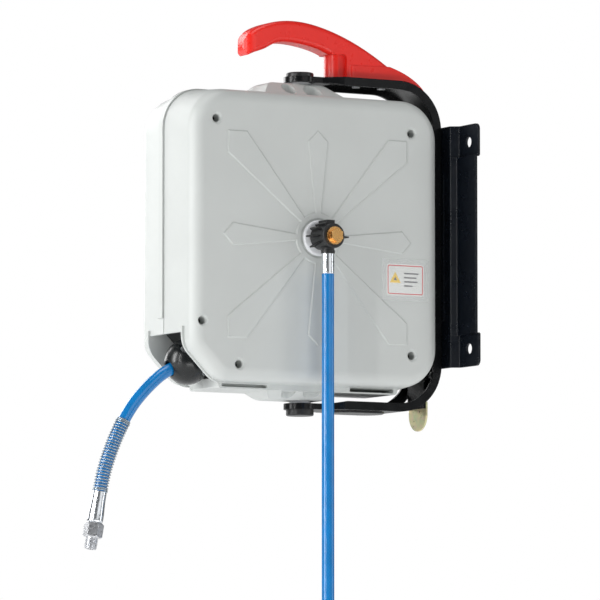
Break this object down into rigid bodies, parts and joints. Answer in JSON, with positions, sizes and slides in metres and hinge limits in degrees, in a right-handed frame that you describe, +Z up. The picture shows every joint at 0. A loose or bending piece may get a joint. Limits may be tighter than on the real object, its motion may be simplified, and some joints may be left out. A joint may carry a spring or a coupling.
{
  "type": "spring-return air hose reel",
  "caption": "Enclosed spring-return air hose reel that swivels in a wall bracket, with a carry handle, a hanging inlet hose and a service hose held by a stop ball.",
  "frame": {"origin": "centre of the four wall bolts, on the wall's face", "axes": "+X into the wall, along the bolts; +Z up; the drum turns about +Y and the inlet side faces -Y"},
  "size_m": [0.4083, 0.1788, 0.8209],
  "materials": {
    "casing_grey": "fine moulded texture, satin",
    "frame_black": "gloss black powder coat",
    "plate_black": "satin blue-black coat",
    "handle_red": "glossy moulded red",
    "zinc_yellow": "yellow-passivated zinc",
    "zinc_steel": "bright zinc plate",
    "chrome": "bright plated",
    "brass": "turned brass",
    "black_plastic": "moulded, satin",
    "black_rubber": "smooth moulded rubber",
    "blue_hose": "clear blue polyurethane over a braid",
    "white_plastic": "white acetal",
    "spring_steel": "oiled spring steel",
    "label_white": "printed film"
  },
  "bodies": {
    "bracket": {"wall_plate": "plate_black", "swivel_frame": "frame_black", "hanger_hooks": "frame_black", "carry_handle": "handle_red", "handle_screws": "zinc_steel", "pivot_bolts": "zinc_steel", "pivot_caps": "black_plastic", "pivot_washers": "white_plastic", "latch_pin": "frame_black", "latch_spring": "spring_steel"},
    "casing": {"pivot_bushes": "white_plastic", "front_shell": "casing_grey", "rear_shell": "casing_grey", "casing_screws": "frame_black", "label": "label_white", "front_bush": "white_plastic", "rear_bush": "white_plastic", "hose_guide": "black_plastic", "stop_ball_front": "black_rubber", "stop_ball_back": "black_rubber", "ball_screws": "zinc_steel", "feed_hose": "blue_hose", "service_hose": "blue_hose", "spring_guard": "zinc_steel", "end_ferrule": "zinc_steel", "end_fitting": "zinc_steel", "spring_housing": "zinc_steel", "spring_cover": "zinc_steel", "housing_screws": "zinc_steel", "power_spring": "spring_steel", "pawl_pin": "zinc_steel", "pawl_spring": "spring_steel"},
    "drum": {"drum_shaft": "brass", "shaft_seals": "black_rubber", "shaft_circlips": "spring_steel", "drum_core": "black_plastic", "drum_flange_front": "black_plastic", "drum_flange_rear": "black_plastic", "flange_screws": "zinc_steel", "ratchet_ring": "zinc_steel", "drum_elbow": "brass", "wound_hose": "blue_hose", "spring_arbor": "zinc_steel"},
    "ratchet_pawl": {"pawl": "zinc_steel"},
    "latch": {"release_lever": "zinc_yellow", "latch_catch": "frame_black"},
    "inlet_swivel": {"swivel_body": "black_plastic", "swivel_plug": "brass", "inlet_ferrule": "chrome", "inlet_hose": "blue_hose", "inlet_end_ferrule": "chrome", "inlet_end_fitting": "zinc_steel"}
  },
  "joints": [
    {"name": "casing_swivel", "type": "hinge", "parent": "bracket", "child": "casing", "pos_m": [-0.162, 0, 0], "axis": [0, 0, 1], "range_deg": [-90, 60]},
    {"name": "drum_spin", "type": "hinge", "parent": "casing", "child": "drum", "pos_m": [-0.172, 0, 0], "axis": [0, 1, 0], "range_deg": [0, 7920], "stiffness_Nm_per_rad": 0.0145, "springref_deg": -7906.82, "deforming": ["power_spring"]},
    {"name": "inlet_turn", "type": "hinge", "parent": "casing", "child": "inlet_swivel", "pos_m": [-0.172, 0, 0], "axis": [0, 1, 0], "range_deg": [-30, 30]},
    {"name": "pawl_drop", "type": "hinge", "parent": "casing", "child": "ratchet_pawl", "pos_m": [-0.136, -0.037, 0.064], "axis": [0, 1, 0], "range_deg": [0, 14], "stiffness_Nm_per_rad": 0.02, "deforming": ["pawl_spring"]},
    {"name": "latch_release", "type": "hinge", "parent": "bracket", "child": "latch", "pos_m": [-0.0207, 0, -0.131], "axis": [0, 1, 0], "range_deg": [0, 15], "stiffness_Nm_per_rad": 0.15, "springref_deg": -28.65, "deforming": ["latch_spring"]}
  ]
}
